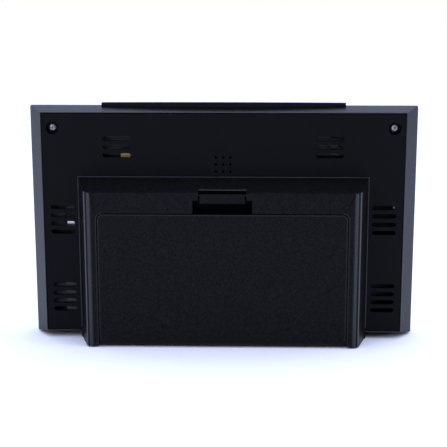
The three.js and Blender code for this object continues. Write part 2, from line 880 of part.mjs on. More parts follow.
function contactSpring( row ) {

	const side = springSide[ row ];
	const turns = 3.25;
	const start = cellLength + 0.6;
	const end = bayHalf - 1.3;
	const points = [];
	const steps = 27;
	for ( let i = 0; i <= steps; i ++ ) {

		const t = i / steps;
		const angle = t * turns * 2 * Math.PI;
		const radius = 3 + 3.5 * t;
		const x = side * ( start + ( end - start ) * t );
		points.push( new THREE.Vector3( x, radius * Math.cos( angle ), radius * Math.sin( angle ) ) );

	}

	const section = new THREE.Shape();
	section.absarc( 0, 0, 0.35, 0, 2 * Math.PI );
	const coil = new THREE.ExtrudeGeometry( section, {
		steps, curveSegments: 3, bevelEnabled: false,
		extrudePath: new THREE.CatmullRomCurve3( points )
	} );
	return solid( coil.translate( 0, cellY, cellRows[ row ] ) );

}

function contactPlate( side, low, high ) {

	const near = side * ( bayHalf - gap - 0.5 );
	const far = side * ( bayHalf - gap );
	return block( Math.min( near, far ), Math.max( near, far ), cellY - 8, cellY + 8, low, high );

}

// A lead from the wall of the bay to the terminal block, landing at height end.
function batteryLead( row, end ) {

	const landing = boardRear + 2;
	const y = Math.min( bayFloor + 4, landing );
	const start = bayHalf + bayWall + gap;
	const block = sideBoardIn + 0.5 - gap;
	const path = new THREE.CatmullRomCurve3( [
		new THREE.Vector3( start, y, cellRows[ row ] ),
		new THREE.Vector3( start + 5, y, cellRows[ row ] - 2 ),
		new THREE.Vector3( block - 5, landing, end + 2 ),
		new THREE.Vector3( block, landing, end )
	] );
	const section = new THREE.Shape();
	section.absarc( 0, 0, 0.7, 0, 2 * Math.PI );
	return solid( new THREE.ExtrudeGeometry( section, {
		steps: 14, curveSegments: 4, bevelEnabled: false, extrudePath: path
	} ) );

}

// ---------------------------------------------------------------- screws

// A pan-head screw along Y. facing is +1 when its head looks to the rear.
function screw( x, seat, z, facing, length ) {

	const profile = [
		[ 0, - length ], [ shankRadius - 0.4, - length ], [ shankRadius, - length + 1 ], [ shankRadius, 0 ],
		[ headRadius, 0 ], [ headRadius, headHeight * 0.55 ], [ headRadius * 0.7, headHeight ], [ 0, headHeight ]
	].map( ( [ r, y ] ) => new THREE.Vector2( r, y ) );
	const body = new THREE.LatheGeometry( profile, 10 );
	if ( facing < 0 ) body.rotateX( Math.PI );
	return solid( body.translate( x, seat, z ) );

}

// A screw that shows: its head has a cross recess.
function crossScrew( x, seat, z, length ) {

	const top = seat + headHeight;
	const across = block( x - 1.1, x + 1.1, top - 0.7, top + 1, z - 0.25, z + 0.25 );
	const upright = block( x - 0.25, x + 0.25, top - 0.7, top + 1, z - 1.1, z + 1.1 );
	return cut( screw( x, seat, z, 1, length ), [ across, upright ] );

}

// ---------------------------------------------------------------- assembly

const finishes = {
	satinBlack: { color: 0x17181d, roughness: 0.42, metalness: 0 },
	grainedBlack: { color: 0x15151a, roughness: 0.62, metalness: 0 },
	glossBlack: { color: 0x08080a, roughness: 0.08, metalness: 0 },
	rubber: { color: 0x101010, roughness: 0.9, metalness: 0 },
	foam: { color: 0x222226, roughness: 1, metalness: 0 },
	display: { color: 0x2b2f33, roughness: 0.15, metalness: 0 },
	tray: { color: 0xd9d9d4, roughness: 0.6, metalness: 0.1 },
	steel: { color: 0xb9bcc0, roughness: 0.32, metalness: 1 },
	nickel: { color: 0xcfcabb, roughness: 0.25, metalness: 1 },
	board: { color: 0x1c5a33, roughness: 0.55, metalness: 0 },
	chip: { color: 0x26262a, roughness: 0.6, metalness: 0 },
	yellow: { color: 0xc79a2b, roughness: 0.5, metalness: 0 },
	greyPlastic: { color: 0x8f9296, roughness: 0.55, metalness: 0 },
	cone: { color: 0x2d2a27, roughness: 0.8, metalness: 0 },
	cellSleeve: { color: 0x9aa4ad, roughness: 0.35, metalness: 0.4 },
	ribbon: { color: 0xb8772e, roughness: 0.45, metalness: 0 },
	red: { color: 0xa81b1b, roughness: 0.5, metalness: 0 },
	black: { color: 0x111111, roughness: 0.5, metalness: 0 }
};

const device = new THREE.Group();

function place( name, body, finish ) {

	const mesh = new THREE.Mesh( geometryOf( body ), new THREE.MeshStandardMaterial( finishes[ finish ] ) );
	mesh.name = name;
	device.add( mesh );

}

place( 'front_bezel', frontBezel(), 'satinBlack' );
place( 'display_window', displayWindow(), 'glossBlack' );
place( 'dust_gasket', dustGasket(), 'foam' );
place( 'display_panel', displayPanel(), 'display' );
place( 'backlight_tray', backlightTray(), 'tray' );
place( 'display_bracket_left', displayBracket( - 1 ), 'steel' );
place( 'display_bracket_right', displayBracket( 1 ), 'steel' );
place( 'display_ribbon', displayRibbon(), 'ribbon' );

place( 'control_bar', controlBar(), 'satinBlack' );
place( 'switch_board', switchBoard(), 'board' );
place( 'press_switch_left', pressSwitch( - barWidth * 0.3 ), 'steel' );
place( 'press_switch_middle', pressSwitch( 0 ), 'steel' );
place( 'press_switch_right', pressSwitch( barWidth * 0.3 ), 'steel' );

place( 'rear_cover', rearCover(), 'satinBlack' );
place( 'speaker', speaker(), 'cone' );
place( 'main_board', board( - boardHalf, boardHalf, boardLow, boardHigh, boardScrews ), 'board' );
place( 'processor_chip', chip( - 28, boardLow + 12, 13, 13, 1.5 ), 'chip' );
place( 'memory_chip', chip( - 46, boardLow + 13, 8, 12, 1.2 ), 'chip' );
place( 'timing_crystal', chip( - 58, boardLow + 14, 4, 9, 2.6 ), 'steel' );
place( 'filter_capacitor', chip( 50, boardLow + 10, 7.3, 4.3, 2.8 ), 'yellow' );
place( 'smoothing_capacitor', boardCan( 30, boardLow + 15, 3.2, 4.1 ), 'steel' );
place( 'side_board', board( sideBoardIn, sideBoardOut, sideBoardLow, sideBoardHigh, sideScrews ), 'board' );
const coilZ = caseHeight - middleSlots.fromTop - slotPitch / 2;
place( 'power_coil', chip( sideBoardIn + 3.4, coilZ, 5, 6, 3.4 ), 'steel' );
place( 'regulator_chip', chip( sideBoardIn + 10.5, caseHeight - middleSlots.fromTop, 6.5, 9, 1.6 ), 'chip' );
place( 'terminal_block', chip( sideBoardIn + 4, terminalZ, 7, terminalHeight, 3.6 ), 'greyPlastic' );

place( 'battery_box', batteryBox(), 'grainedBlack' );
place( 'battery_door', batteryDoor(), 'grainedBlack' );
place( 'door_latch', doorLatch(), 'grainedBlack' );
for ( const row of [ 0, 1 ] ) {

	place( `contact_spring_${ row + 1 }`, contactSpring( row ), 'nickel' );
	for ( const column of [ 0, 1 ] ) {

		place( `battery_cell_${ row * 2 + column + 1 }`, cell( row, column ), 'cellSleeve' );

	}

}

place( 'contact_link', contactPlate( - 1, cellRows[ 0 ] - 7, cellRows[ 1 ] + 7 ), 'nickel' );
place( 'contact_minus', contactPlate( 1, cellRows[ 0 ] - 7, cellRows[ 0 ] + 7 ), 'nickel' );
place( 'contact_plus', contactPlate( 1, cellRows[ 1 ] - 7, cellRows[ 1 ] + 7 ), 'nickel' );
place( 'battery_lead_black', batteryLead( 0, terminalZ - 4 ), 'black' );
place( 'battery_lead_red', batteryLead( 1, terminalZ + 4 ), 'red' );

bothSides.forEach( ( side, index ) => {

	const name = [ 'left', 'right' ][ index ];
	place( `cover_screw_${ name }`, crossScrew( side * screwX, - counterboreDepth + gap, screwZ, 9 ), 'steel' );
	bracketScrewZ.forEach( ( z, level ) => {

		place( `bracket_screw_${ [ 'low', 'high' ][ level ] }_${ name }`,
			screw( side * bracketScrewX, bracketRear + gap, z, 1, 3.6 ), 'steel' );

	} );
	boxScrewZ.forEach( ( z, level ) => {

		place( `box_screw_${ [ 'low', 'high' ][ level ] }_${ name }`,
			screw( side * boxScrewX, - coverThickness - gap, z, - 1, 7.5 ), 'steel' );

	} );

} );
boardScrews.forEach( ( [ x, z ], index ) =>
	place( `board_screw_${ index + 1 }`, screw( x, boardFront - gap, z, - 1, 5 ), 'steel' ) );
sideScrews.forEach( ( [ x, z ], index ) =>
	place( `side_board_screw_${ index + 1 }`, screw( x, boardFront - gap, z, - 1, 5 ), 'steel' ) );
for ( const [ name, spot ] of Object.entries( footPlaces ) ) place( name, foot( spot ), 'rubber' );

// Lean the device back and stand it on z = 0, centred on the origin.
device.rotation.x = - lean;
device.updateMatrixWorld( true );
const bounds = new THREE.Box3().setFromObject( device, true );
const middle = bounds.getCenter( new THREE.Vector3() );
device.position.set( - middle.x, - middle.y, - bounds.min.z );

const group = new THREE.Group();
group.add( device );

export default group;
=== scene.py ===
# The looks of a battery-powered digital picture frame, piece by piece as it goes together.
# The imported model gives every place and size; millimetres are used while drawing.

import math

import bmesh
import bpy
from mathutils import Matrix, Vector


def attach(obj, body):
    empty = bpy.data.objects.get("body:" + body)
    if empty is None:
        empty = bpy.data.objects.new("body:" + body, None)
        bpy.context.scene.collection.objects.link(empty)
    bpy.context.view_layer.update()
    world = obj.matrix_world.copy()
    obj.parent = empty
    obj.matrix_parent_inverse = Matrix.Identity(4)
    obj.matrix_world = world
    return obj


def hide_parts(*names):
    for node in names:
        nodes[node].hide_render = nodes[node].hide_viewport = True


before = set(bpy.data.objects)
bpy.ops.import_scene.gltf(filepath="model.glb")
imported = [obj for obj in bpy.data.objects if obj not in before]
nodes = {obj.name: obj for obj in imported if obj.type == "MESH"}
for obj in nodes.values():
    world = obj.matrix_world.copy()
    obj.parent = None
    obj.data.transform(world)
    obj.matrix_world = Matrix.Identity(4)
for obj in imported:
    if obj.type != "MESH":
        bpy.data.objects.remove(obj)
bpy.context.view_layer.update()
scene = bpy.context.scene


# ---------------------------------------------------------------- front housing
# The case is one deep injection-moulded shell in black ABS that tapers in towards the back and
# a little towards the front. It carries the bosses, the rear cover's ledge and the feet's
# pockets. Everything is drawn upright and then leaned back as the finished frame stands.

mm = 0.001
lean = math.radians(3)
upright = Matrix.Rotation(lean, 3, "X")
cover_face = max((upright @ v.co).y for v in nodes["rear_cover"].data.vertices)
case_floor = min((upright @ v.co).z for v in nodes["front_bezel"].data.vertices)
stand = (
    Matrix.Rotation(-lean, 4, "X")
    @ Matrix.Translation((0, cover_face, case_floor))
    @ Matrix.Scale(mm, 4)
)
draw = stand.inverted()


def traced(*names):
    """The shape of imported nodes, welded, with flat faces whole, upright and in millimetres."""
    shape = bmesh.new()
    for name in names:
        source = nodes[name].data
        start = [shape.verts.new(v.co) for v in source.vertices]
        for polygon in source.polygons:
            shape.faces.new([start[i] for i in polygon.vertices])
    shape.transform(draw)
    bmesh.ops.remove_doubles(shape, verts=shape.verts, dist=0.002)
    bmesh.ops.dissolve_degenerate(shape, edges=shape.edges, dist=0.002)
    bmesh.ops.dissolve_limit(
        shape, angle_limit=math.radians(0.3), verts=shape.verts, edges=shape.edges
    )
    return shape


def soften(shape, radius, where, segments=3, sharper=28, finish=-1):
    """Rounds the outside edges whose middle passes the test, in a finish of their own if asked."""
    picked = []
    for edge in shape.edges:
        if len(edge.link_faces) != 2 or not edge.is_convex:
            continue
        middle = (edge.verts[0].co + edge.verts[1].co) / 2
        if edge.calc_face_angle() > math.radians(sharper) and where(middle):
            picked.append(edge)
    bmesh.ops.bevel(
        shape,
        geom=picked,
        offset=radius,
        offset_type="OFFSET",
        segments=segments,
        profile=0.5,
        affect="EDGES",
        clamp_overlap=True,
        material=finish,
    )


def moulding(name, shape, finishes, body, keeps_sharp=38):
    """Stands a drawn shape up as a piece of the frame, with its numbered finishes."""
    shape.transform(stand)
    mesh = bpy.data.meshes.new(name)
    shape.to_mesh(mesh)
    shape.free()
    for finish in finishes:
        mesh.materials.append(finish)
    for polygon in mesh.polygons:
        polygon.use_smooth = True
    mesh.set_sharp_from_angle(angle=math.radians(keeps_sharp))
    made = bpy.data.objects.new(name, mesh)
    scene.collection.objects.link(made)
    even = made.modifiers.new("even", "WEIGHTED_NORMAL")
    even.keep_sharp = True
    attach(made, body)
    return made


def add(tree, kind, sockets=None, **settings):
    """Adds a node; a socket's value may be a constant or another node's output."""
    node = tree.nodes.new(kind)
    for key, value in settings.items():
        setattr(node, key, value)
    for key, value in (sockets or {}).items():
        if isinstance(value, bpy.types.NodeSocket):
            tree.links.new(value, node.inputs[key])
        else:
            node.inputs[key].default_value = value
    return node


def new_finish(name):
    """An empty finish: its tree, its shader and the place on the frame."""
    finish = bpy.data.materials.new(name)
    finish.use_nodes = True
    tree = finish.node_tree
    place = add(tree, "ShaderNodeTexCoord").outputs["Object"]
    return finish, tree, tree.nodes["Principled BSDF"], place


def spread(tree, value, low, high, into_low, into_high):
    """Maps a range of values onto another."""
    return add(
        tree,
        "ShaderNodeMapRange",
        {0: value, 1: low, 2: high, 3: into_low, 4: into_high},
    ).outputs[0]


def black_plastic(name, dark, light, gloss, grain, depth, shine, dust=0.25, flow=0.03):
    """Moulded black plastic: spark-eroded grain, flow marks, handling sheen and a little dust."""
    finish, tree, shader, place = new_finish(name)
    fine = add(
        tree,
        "ShaderNodeTexNoise",
        {"Vector": place, "Scale": 1000 / grain, "Detail": 3.0, "Roughness": 0.65},
    ).outputs["Fac"]
    pits = add(
        tree,
        "ShaderNodeTexVoronoi",
        {"Vector": place, "Scale": 700 / grain},
        feature="SMOOTH_F1",
    ).outputs["Distance"]
    both = add(
        tree, "ShaderNodeMath", {0: fine, 1: pits}, operation="ADD"
    ).outputs[0]
    broad = add(
        tree,
        "ShaderNodeTexNoise",
        {"Vector": place, "Scale": 26.0, "Detail": 5.0, "Distortion": 1.2},
    ).outputs["Fac"]
    specks = add(
        tree,
        "ShaderNodeTexNoise",
        {"Vector": place, "Scale": 900.0, "Detail": 1.0},
    ).outputs["Fac"]
    mottle = spread(tree, fine, 0.35, 0.65, 0.0, 1.0)
    tone = add(
        tree,
        "ShaderNodeMix",
        {0: mottle, 6: (*dark, 1), 7: (*light, 1)},
        data_type="RGBA",
    ).outputs[2]
    dusty = add(
        tree,
        "ShaderNodeMath",
        {0: spread(tree, specks, 0.70, 0.78, 0.0, dust), 1: broad},
        operation="MULTIPLY",
    ).outputs[0]
    colour = add(
        tree,
        "ShaderNodeMix",
        {0: dusty, 6: tone, 7: (0.09, 0.09, 0.10, 1)},
        data_type="RGBA",
    ).outputs[2]
    handled = spread(tree, broad, 0.3, 0.7, gloss - flow, gloss + flow)
    rough = add(
        tree,
        "ShaderNodeMath",
        {0: handled, 1: spread(tree, fine, 0.3, 0.7, -0.03, 0.03)},
        operation="ADD",
    ).outputs[0]
    bump = add(
        tree,
        "ShaderNodeBump",
        {"Height": both, "Strength": 0.55, "Distance": depth * mm},
    ).outputs["Normal"]
    tree.links.new(colour, shader.inputs["Base Color"])
    tree.links.new(rough, shader.inputs["Roughness"])
    tree.links.new(bump, shader.inputs["Normal"])
    shader.inputs["Specular IOR Level"].default_value = shine
    return finish


# the case's sizes, upright, in millimetres, and how close still counts as on a face
case_half = 101.8
case_top = 124.4
rim_front = -11.8
rim_reach = 1.3
front_face = -19.85
cover_rear = 0.0
near = 0.05

case_black = black_plastic(
    "case_black",
    (0.0024, 0.0024, 0.0026),
    (0.0042, 0.0042, 0.0045),
    gloss=0.27,
    grain=0.5,
    depth=0.008,
    shine=0.075,
    dust=0.15,
)

# Painted highlight: a lighter, glossier black for the rounded rear edges of the case and for the
# edges of the cover's slots, holes and wells.
case_edge_highlight = black_plastic(
    "case_edge_highlight",
    (0.006, 0.006, 0.0065),
    (0.012, 0.012, 0.013),
    gloss=0.26,
    grain=0.5,
    depth=0.004,
    shine=0.6,
)


def on_shoulder(p):
    """True on the edge where the rim's taper starts."""
    outside = abs(p.x) > case_half - rim_reach or not rim_reach <= p.z <= case_top - rim_reach
    return abs(p.y - rim_front) < near and outside


shell = traced("front_bezel")
soften(shell, 0.6, lambda p: p.y < front_face + 0.02)
soften(shell, 0.3, on_shoulder)
# The case's rounded rear edges take the lighter black, a painted highlight.
soften(shell, 0.28, lambda p: p.y > cover_rear - near, finish=1)
front_housing = moulding("front_housing", shell, [case_black, case_edge_highlight], "case")
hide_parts("front_bezel")


# ---------------------------------------------------------------- display window
# A 1 mm acrylic sheet, printed black on its inner side except where the picture shows, and
# held in the front housing by a thin line of foam tape. The display behind it is off.

# the picture's place on the window, in metres
picture_half = 0.077
picture_low = 0.018
picture_high = 0.105
picture_blur = 0.0001


def within(tree, value, low, high, blur):
    """One between two limits and nought outside them, with a soft edge."""
    up = spread(tree, value, low - blur, low + blur, 0.0, 1.0)
    down = spread(tree, value, high - blur, high + blur, 1.0, 0.0)
    return add(tree, "ShaderNodeMath", {0: up, 1: down}, operation="MULTIPLY").outputs[0]


window_gloss, tree, shader, place = new_finish("window_gloss")
axes = add(tree, "ShaderNodeSeparateXYZ", {0: place})
across = within(tree, axes.outputs["X"], -picture_half, picture_half, picture_blur)
upward = within(tree, axes.outputs["Z"], picture_low, picture_high, picture_blur)
picture = add(tree, "ShaderNodeMath", {0: across, 1: upward}, operation="MULTIPLY").outputs[0]
cells = add(
    tree,
    "ShaderNodeTexBrick",
    {
        "Vector": add(
            tree, "ShaderNodeCombineXYZ", {0: axes.outputs["X"], 1: axes.outputs["Z"]}
        ).outputs[0],
        "Color1": (0.012, 0.012, 0.016, 1),
        "Color2": (0.016, 0.014, 0.019, 1),
        "Mortar": (0.002, 0.002, 0.003, 1),
        "Scale": 1.0,
        "Mortar Size": 0.00003,
        "Brick Width": 0.00008,
        "Row Height": 0.00024,
    },
    offset=0.0,
).outputs["Color"]
smear = add(
    tree,
    "ShaderNodeTexNoise",
    {"Vector": place, "Scale": 34.0, "Detail": 6.0, "Distortion": 2.0},
).outputs["Fac"]
shown = add(
    tree,
    "ShaderNodeMix",
    {0: picture, 6: (0.0012, 0.0012, 0.0013, 1), 7: cells},
    data_type="RGBA",
).outputs[2]
tree.links.new(shown, shader.inputs["Base Color"])
tree.links.new(spread(tree, smear, 0.35, 0.75, 0.03, 0.11), shader.inputs["Roughness"])
wave = add(
    tree, "ShaderNodeTexNoise", {"Vector": place, "Scale": 9.0, "Detail": 1.0}
).outputs["Fac"]
tree.links.new(
    add(
        tree, "ShaderNodeBump", {"Height": wave, "Strength": 0.15, "Distance": 0.0004}
    ).outputs["Normal"],
    shader.inputs["Normal"],
)
shader.inputs["Specular IOR Level"].default_value = 0.3

sheet = traced("display_window")
soften(sheet, 0.2, lambda p: p.y < front_face + 1, segments=2)
window = moulding("window", sheet, [window_gloss], "case")
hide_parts("display_window")


# ---------------------------------------------------------------- display stack
# Foam gasket, liquid crystal panel, backlight tray, two folded steel brackets screwed to the
# housing, and the amber flat cable that runs up to the main board. The tray and the brackets are
# near-black as painted shade, for the shade inside the case behind the vents.


def dress(finish, *names):
    """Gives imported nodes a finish."""
    for name in names:
        for seat in nodes[name].material_slots:
            seat.material = finish


def plain_finish(
    name, one, other, rough, scale, bump=0.02, metal=0.0, shine=0.5, stretch=(1, 1, 1), swing=0.06
):
    """A finish with fine mottling, uneven gloss and a slight relief."""
    finish, tree, shader, place = new_finish(name)
    laid = add(tree, "ShaderNodeMapping", {"Vector": place, "Scale": stretch}).outputs[0]
    fine = add(
        tree,
        "ShaderNodeTexNoise",
        {"Vector": laid, "Scale": scale, "Detail": 4.0, "Roughness": 0.6},
    ).outputs["Fac"]
    broad = add(
        tree,
        "ShaderNodeTexNoise",
        {"Vector": place, "Scale": scale / 12, "Detail": 3.0},
    ).outputs["Fac"]
    mixed = add(
        tree, "ShaderNodeMath", {0: fine, 1: broad}, operation="ADD"
    ).outputs[0]
    tone = add(
        tree,
        "ShaderNodeMix",
        {0: spread(tree, mixed, 0.7, 1.3, 0.0, 1.0), 6: (*one, 1), 7: (*other, 1)},
        data_type="RGBA",
    ).outputs[2]
    tree.links.new(tone, shader.inputs["Base Color"])
    tree.links.new(
        spread(tree, mixed, 0.7, 1.3, rough - swing, rough + swing), shader.inputs["Roughness"]
    )
    tree.links.new(
        add(
            tree, "ShaderNodeBump", {"Height": fine, "Strength": 0.5, "Distance": bump * mm}
        ).outputs["Normal"],
        shader.inputs["Normal"],
    )
    shader.inputs["Metallic"].default_value = metal
    shader.inputs["Specular IOR Level"].default_value = shine
    return finish


foam = plain_finish("foam", (0.012, 0.012, 0.013), (0.03, 0.03, 0.03), 0.92, 1800, bump=0.15)
panel_glass = plain_finish("panel_glass", (0.02, 0.021, 0.026), (0.03, 0.03, 0.036), 0.1, 300)
# Painted shade: the tray is near-black, for the shade inside the case behind the vents.
tray_painted_shade = plain_finish(
    "tray_painted_shade", (0.006, 0.006, 0.006), (0.01, 0.01, 0.01), 0.6, 500, shine=0.2
)
bright_steel = plain_finish(
    "bright_steel", (0.56, 0.56, 0.55), (0.68, 0.68, 0.66), 0.3, 900, metal=1.0, stretch=(1, 1, 6)
)
ribbon_amber = plain_finish("ribbon_amber", (0.42, 0.19, 0.03), (0.52, 0.26, 0.05), 0.35, 600)
dress(foam, "dust_gasket")
dress(panel_glass, "display_panel")
dress(tray_painted_shade, "backlight_tray")
# Painted shade: the brackets are near-black, for the shade inside the case behind the vents.
bracket_painted_shade = plain_finish(
    "bracket_painted_shade", (0.003, 0.003, 0.003), (0.006, 0.006, 0.006), 0.6, 900, shine=0.12
)
dress(bracket_painted_shade, "display_bracket_left", "display_bracket_right")
dress(ribbon_amber, "display_ribbon")


# ---------------------------------------------------------------- control bar and its switches
# One long push bar in the same black ABS sits in a slot in the top and snaps behind it with a
# flange. It presses three small switches soldered to a strip of circuit board underneath.

bar_shown = 1.9
bar = traced("control_bar")
bar_top = max(v.co.z for v in bar.verts)
soften(bar, 0.35, lambda p: p.z > bar_top - bar_shown)
control_bar = moulding("push_bar", bar, [case_black], "bar")
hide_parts("control_bar")

# Painted shade: the boards' green is darkened nearly to black, for the shade inside the case; the
# tracks and solder joints are the board's own pattern.
board_green, tree, shader, place = new_finish("board_green")
axes = add(tree, "ShaderNodeSeparateXYZ", {0: place})
flat = add(
    tree, "ShaderNodeCombineXYZ", {0: axes.outputs["X"], 1: axes.outputs["Z"]}
).outputs[0]
tracks = add(
    tree,
    "ShaderNodeTexBrick",
    {
        "Vector": flat,
        "Color1": (0.004, 0.011, 0.005, 1),
        "Color2": (0.003, 0.009, 0.004, 1),
        "Mortar": (0.008, 0.024, 0.010, 1),
        "Scale": 1.0,
        "Mortar Size": 0.00022,
        "Brick Width": 0.0063,
        "Row Height": 0.0013,
    },
    offset=0.37,
)
joints = add(
    tree, "ShaderNodeTexVoronoi", {"Vector": flat, "Scale": 330.0, "Randomness": 0.4}
).outputs["Distance"]
solder = spread(tree, joints, 0.13, 0.16, 1.0, 0.0)
tone = add(
    tree,
    "ShaderNodeMix",
    {0: solder, 6: tracks.outputs["Color"], 7: (0.05, 0.048, 0.042, 1)},
    data_type="RGBA",
).outputs[2]
tree.links.new(tone, shader.inputs["Base Color"])
tree.links.new(spread(tree, solder, 0.0, 1.0, 0.38, 0.25), shader.inputs["Roughness"])
tree.links.new(solder, shader.inputs["Metallic"])
relief = add(
    tree, "ShaderNodeMath", {0: tracks.outputs["Fac"], 1: solder}, operation="ADD"
).outputs[0]
tree.links.new(
    add(tree, "ShaderNodeBump", {"Height": relief, "Strength": 0.5, "Distance": 0.00005}).outputs[
        "Normal"
    ],
    shader.inputs["Normal"],
)
dress(board_green, "switch_board", "main_board", "side_board")
dress(bright_steel, "press_switch_left", "press_switch_middle", "press_switch_right")


# ---------------------------------------------------------------- rear cover
# A flat plate set into the tapered rim and held by two screws in round wells. Six groups of
# slots let heat out, and a square of nine small holes lets the sound out.

cover_black = black_plastic(
    "cover_black",
    (0.0018, 0.0017, 0.0020),
    (0.0034, 0.0031, 0.0038),
    gloss=0.44,
    grain=0.6,
    depth=0.014,
    shine=0.062,
    dust=0.12,
)
plate = traced("rear_cover")
# The rounded edges of the slots, holes and wells take the lighter black, a painted highlight.
soften(plate, 0.16, lambda p: p.y > cover_rear - near, segments=2, finish=1)
rear_plate = moulding("rear_plate", plate, [cover_black, case_edge_highlight], "case")
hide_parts("rear_cover")


# ---------------------------------------------------------------- speaker and boards
# A small round speaker is glued behind the nine holes. The main board hangs on posts behind the
# upper vents, and the power board stands beside the battery bay behind the side vents.

# The cone is black, and darkened further as painted shade behind the nine holes.
speaker_cone = plain_finish(
    "speaker_cone", (0.002, 0.002, 0.002), (0.005, 0.005, 0.005), 0.8, 1200, bump=0.06, shine=0.05
)
chip_black = plain_finish("chip_black", (0.014, 0.014, 0.015), (0.022, 0.022, 0.023), 0.55, 1500)
capacitor_yellow = plain_finish(
    "capacitor_yellow", (0.62, 0.4, 0.07), (0.7, 0.47, 0.1), 0.35, 500
)
capacitor_can = plain_finish(
    "capacitor_can", (0.5, 0.5, 0.5), (0.62, 0.62, 0.62), 0.28, 900, metal=1.0
)
terminal_grey = plain_finish("terminal_grey", (0.045, 0.045, 0.044), (0.07, 0.07, 0.069), 0.5, 700)
dress(speaker_cone, "speaker")
dress(chip_black, "processor_chip", "memory_chip", "regulator_chip", "timing_crystal")
dress(bright_steel, "power_coil")
dress(capacitor_yellow, "filter_capacitor")
dress(capacitor_can, "smoothing_capacitor")
dress(terminal_grey, "terminal_block")


# ---------------------------------------------------------------- battery box
# A deep box in grained black ABS, screwed to the rear cover from inside, with a bead where they
# meet. Its sides are drafted, its top slopes and its rear corners are round. Its edges are a little
# glossier; a lighter, glossier black on them, on bands of its round corners and on the bead, and a
# shinier band along its rear edges paint their highlights, and a near-black on its recess, notch
# and door gap paints their shade. Its lower edge carries the door's hinge.

# the box's sizes, upright, in millimetres
box_rear = 19.5
rear_half = 8
box_base = 76.0
box_top = 88.3
corner_start = 66
side_start = 60
sheen_band_from = 62
slope_start = 83.5
notch_half = 12.3
notch_back = box_rear - 4.5
recess_half = 15.4
recess_low = 72.7
recess_high = 84.3
gap_half = 65.2
gap_top = 73.6
gap_depth = 2.8

grained_black = black_plastic(
    "grained_black",
    (0.0012, 0.0012, 0.0013),
    (0.0058, 0.0058, 0.0059),
    gloss=0.40,
    grain=1.1,
    depth=0.03,
    shine=0.068,
    dust=0.08,
)
# Painted shade: a dull near-black for the finger recess, the notch, the door gap, the door's rear
# edges and the faces under the tab, where shade falls.
painted_shade_black = black_plastic(
    "painted_shade_black",
    (0.0004, 0.0004, 0.0005),
    (0.0009, 0.0009, 0.0010),
    gloss=0.3,
    grain=0.9,
    depth=0.004,
    shine=0.012,
)
# Painted highlight: a lighter, glossier black for rounded edges, bands of the round corners, the
# bead and the tab's edges.
painted_highlight_black = black_plastic(
    "painted_highlight_black",
    (0.005, 0.005, 0.0055),
    (0.011, 0.011, 0.012),
    gloss=0.34,
    grain=0.9,
    depth=0.012,
    shine=0.42,
)
# Painted highlight: a shinier, slightly lighter black for a narrow band along the rear edges of the
# box and the door.
sheen_band_black = black_plastic(
    "sheen_band_black",
    (0.0014, 0.0014, 0.0015),
    (0.0062, 0.0062, 0.0064),
    gloss=0.36,
    grain=0.9,
    depth=0.02,
    shine=0.19,
    dust=0.08,
)


def paint(shape, finish, where):
    """Gives a finish's number to the faces that pass the test."""
    shape.normal_update()
    for face in shape.faces:
        if where(face.calc_center_median(), face.normal):
            face.material_index = finish


def in_recess(p, facing):
    """True inside the finger recess and the notch above it."""
    inside = abs(p.x) < recess_half and recess_low < p.z < recess_high
    return inside and rear_half < p.y < box_rear - 0.3


def at_rear(p):
    """True on the box's rear face and round its edge."""
    return p.y > box_rear - near


def on_round_corner(p, facing):
    """True on the two bands of the round upright corners that take the painted highlight, with a
    dull band between.
    """
    turned = abs(facing.x)
    banded = 0.02 < turned < 0.38 or 0.72 < turned < 0.93
    return p.y > rear_half and abs(p.x) > side_start and banded and facing.y > 0.3


def sheen_band_edge(shape, width, finish, where):
    """Sets off a narrow band along the flat rear face's edges, in its own finish where asked; the
    shinier band paints a highlight line.
    """
    shape.normal_update()
    flats = [
        face
        for face in shape.faces
        if face.normal.y > 0.99 and at_rear(face.calc_center_median()) and face.calc_area() > 40
    ]
    band = bmesh.ops.inset_region(
        shape, faces=flats, thickness=width, use_even_offset=True, use_boundary=True
    )
    for face in band["faces"]:
        if where(face.calc_center_median()):
            face.material_index = finish


def in_door_gap(p, facing):
    """True on the faces in the gap round the door, which take the painted shade."""
    beside = abs(p.x) < gap_half and p.z < gap_top
    return beside and box_rear - gap_depth < p.y < box_rear - 0.1 and abs(facing.y) < 0.5


housing = traced("battery_box")
# The finger recess, the notch and the door gap take the dull near-black: painted shade.
paint(housing, 1, in_recess)
paint(housing, 1, in_door_gap)
# The notch's lip, the outer rear edges and the top corners below get the lighter, glossier black:
# painted highlights.
soften(
    housing,
    0.6,
    lambda p: abs(p.x) < notch_half + 0.1 and abs(p.y - notch_back) < 0.1 and p.z > 80,
    finish=2,
)
soften(housing, 0.2, lambda p: at_rear(p) and abs(p.x) > corner_start, finish=2)
soften(housing, 0.2, lambda p: at_rear(p) and p.z > gap_top)
soften(housing, 0.3, lambda p: p.z > slope_start and abs(p.x) > 70 and 1 < p.y < 18, finish=2)
# The rear edges beside the door opening are rounded in the same near-black: painted shade along the
# door gap.
soften(housing, 0.2, lambda p: at_rear(p) and abs(p.x) < corner_start and p.z < gap_top, finish=1)
# Bands of the round corners get the same lighter black: painted highlights.
paint(housing, 2, on_round_corner)
# A shinier band along the box's outer rear edges: a painted highlight line.
sheen_band_edge(housing, 0.6, 3, lambda p: abs(p.x) > sheen_band_from)
battery_housing = moulding(
    "battery_housing",
    housing,
    [grained_black, painted_shade_black, painted_highlight_black, sheen_band_black],
    "case",
)
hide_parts("battery_box")


def socket_in(tree, name, kind, value=None):
    """A named input of a Geometry Nodes tree."""
    made = tree.interface.new_socket(name=name, in_out="INPUT", socket_type=kind)
    if value is not None:
        made.default_value = value
    return made


